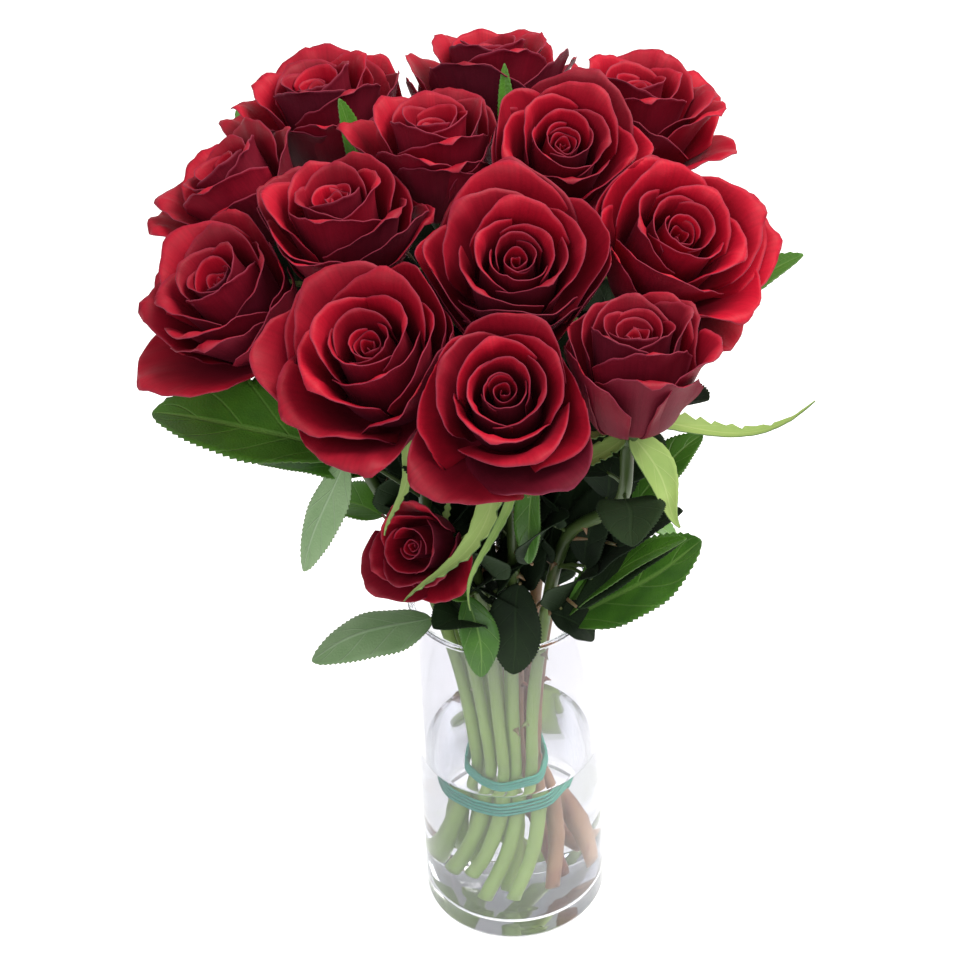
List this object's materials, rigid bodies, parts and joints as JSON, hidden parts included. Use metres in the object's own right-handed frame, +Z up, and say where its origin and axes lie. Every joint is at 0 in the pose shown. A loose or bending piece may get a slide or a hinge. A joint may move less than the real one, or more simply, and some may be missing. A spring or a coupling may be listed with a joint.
{
  "type": "vase of cut roses",
  "caption": "Straight-sided clear glass cylinder vase, half full of water, that holds a hand-tied dome of long-stemmed red roses with their leaves.",
  "frame": {"origin": "The centre of the vase's foot, on the table.", "axes": "+Z is up, along the vase's axis and the longest side of the whole. -Y is the front, towards the camera of the picture, and +X is to its right."},
  "size_m": [0.3285, 0.3473, 0.5069],
  "materials": {
    "vase_glass": "polished",
    "water": "polished",
    "elastic": "satin",
    "petals": "matte",
    "green_growth": "satin"
  },
  "bodies": {
    "root": {"vase": "vase_glass", "water": "water", "stem_band": "elastic", "rose_01_bloom": "petals", "rose_01_stem": "green_growth", "rose_02_bloom": "petals", "rose_02_stem": "green_growth", "rose_03_bloom": "petals", "rose_03_stem": "green_growth", "rose_04_bloom": "petals", "rose_04_stem": "green_growth", "rose_05_bloom": "petals", "rose_05_stem": "green_growth", "rose_06_bloom": "petals", "rose_06_stem": "green_growth", "rose_07_bloom": "petals", "rose_07_stem": "green_growth", "rose_08_bloom": "petals", "rose_08_stem": "green_growth", "rose_09_bloom": "petals", "rose_09_stem": "green_growth", "rose_10_bloom": "petals", "rose_10_stem": "green_growth", "rose_11_bloom": "petals", "rose_11_stem": "green_growth", "rose_12_bloom": "petals", "rose_12_stem": "green_growth", "rose_13_bloom": "petals", "rose_13_stem": "green_growth", "rose_14_bloom": "petals", "rose_14_stem": "green_growth"}
  },
  "joints": []
}
